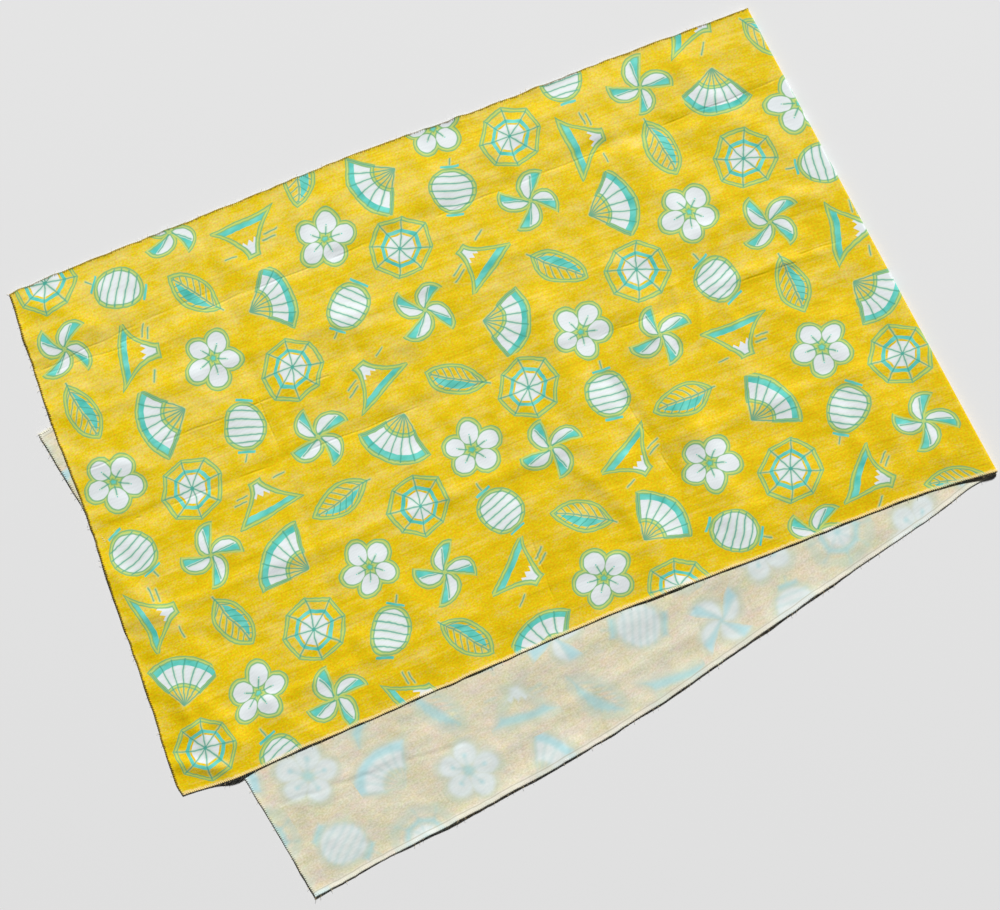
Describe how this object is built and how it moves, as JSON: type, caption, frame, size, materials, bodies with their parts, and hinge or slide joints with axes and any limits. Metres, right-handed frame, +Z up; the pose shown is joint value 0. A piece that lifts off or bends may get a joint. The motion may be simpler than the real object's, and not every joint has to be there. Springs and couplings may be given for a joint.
{
  "type": "tenugui",
  "caption": "Thin printed cotton hand towel, long and narrow, folded in half across its length and laid flat with the lower half turned out.",
  "frame": {"origin": "middle of the laid cloth's box, on the surface it lies on", "axes": "+X along the cloth from its free ends to the fold, +Y across it to the far selvedge, +Z up"},
  "size_m": [0.5359, 0.4138, 0.006],
  "materials": {
    "printed_cotton": "plain woven cotton, golden ground with a green, teal and white print, matt",
    "cotton_reverse": "unprinted side of the same cotton, cream with the print showing faintly through, matt",
    "hem_thread": "cotton thread in close overcast stitches along the cloth's four edges, and loose ends of yarn"
  },
  "bodies": {
    "root": {"upper_layer": "printed_cotton", "fold_bend": "printed_cotton", "lower_layer": "cotton_reverse"}
  },
  "joints": []
}
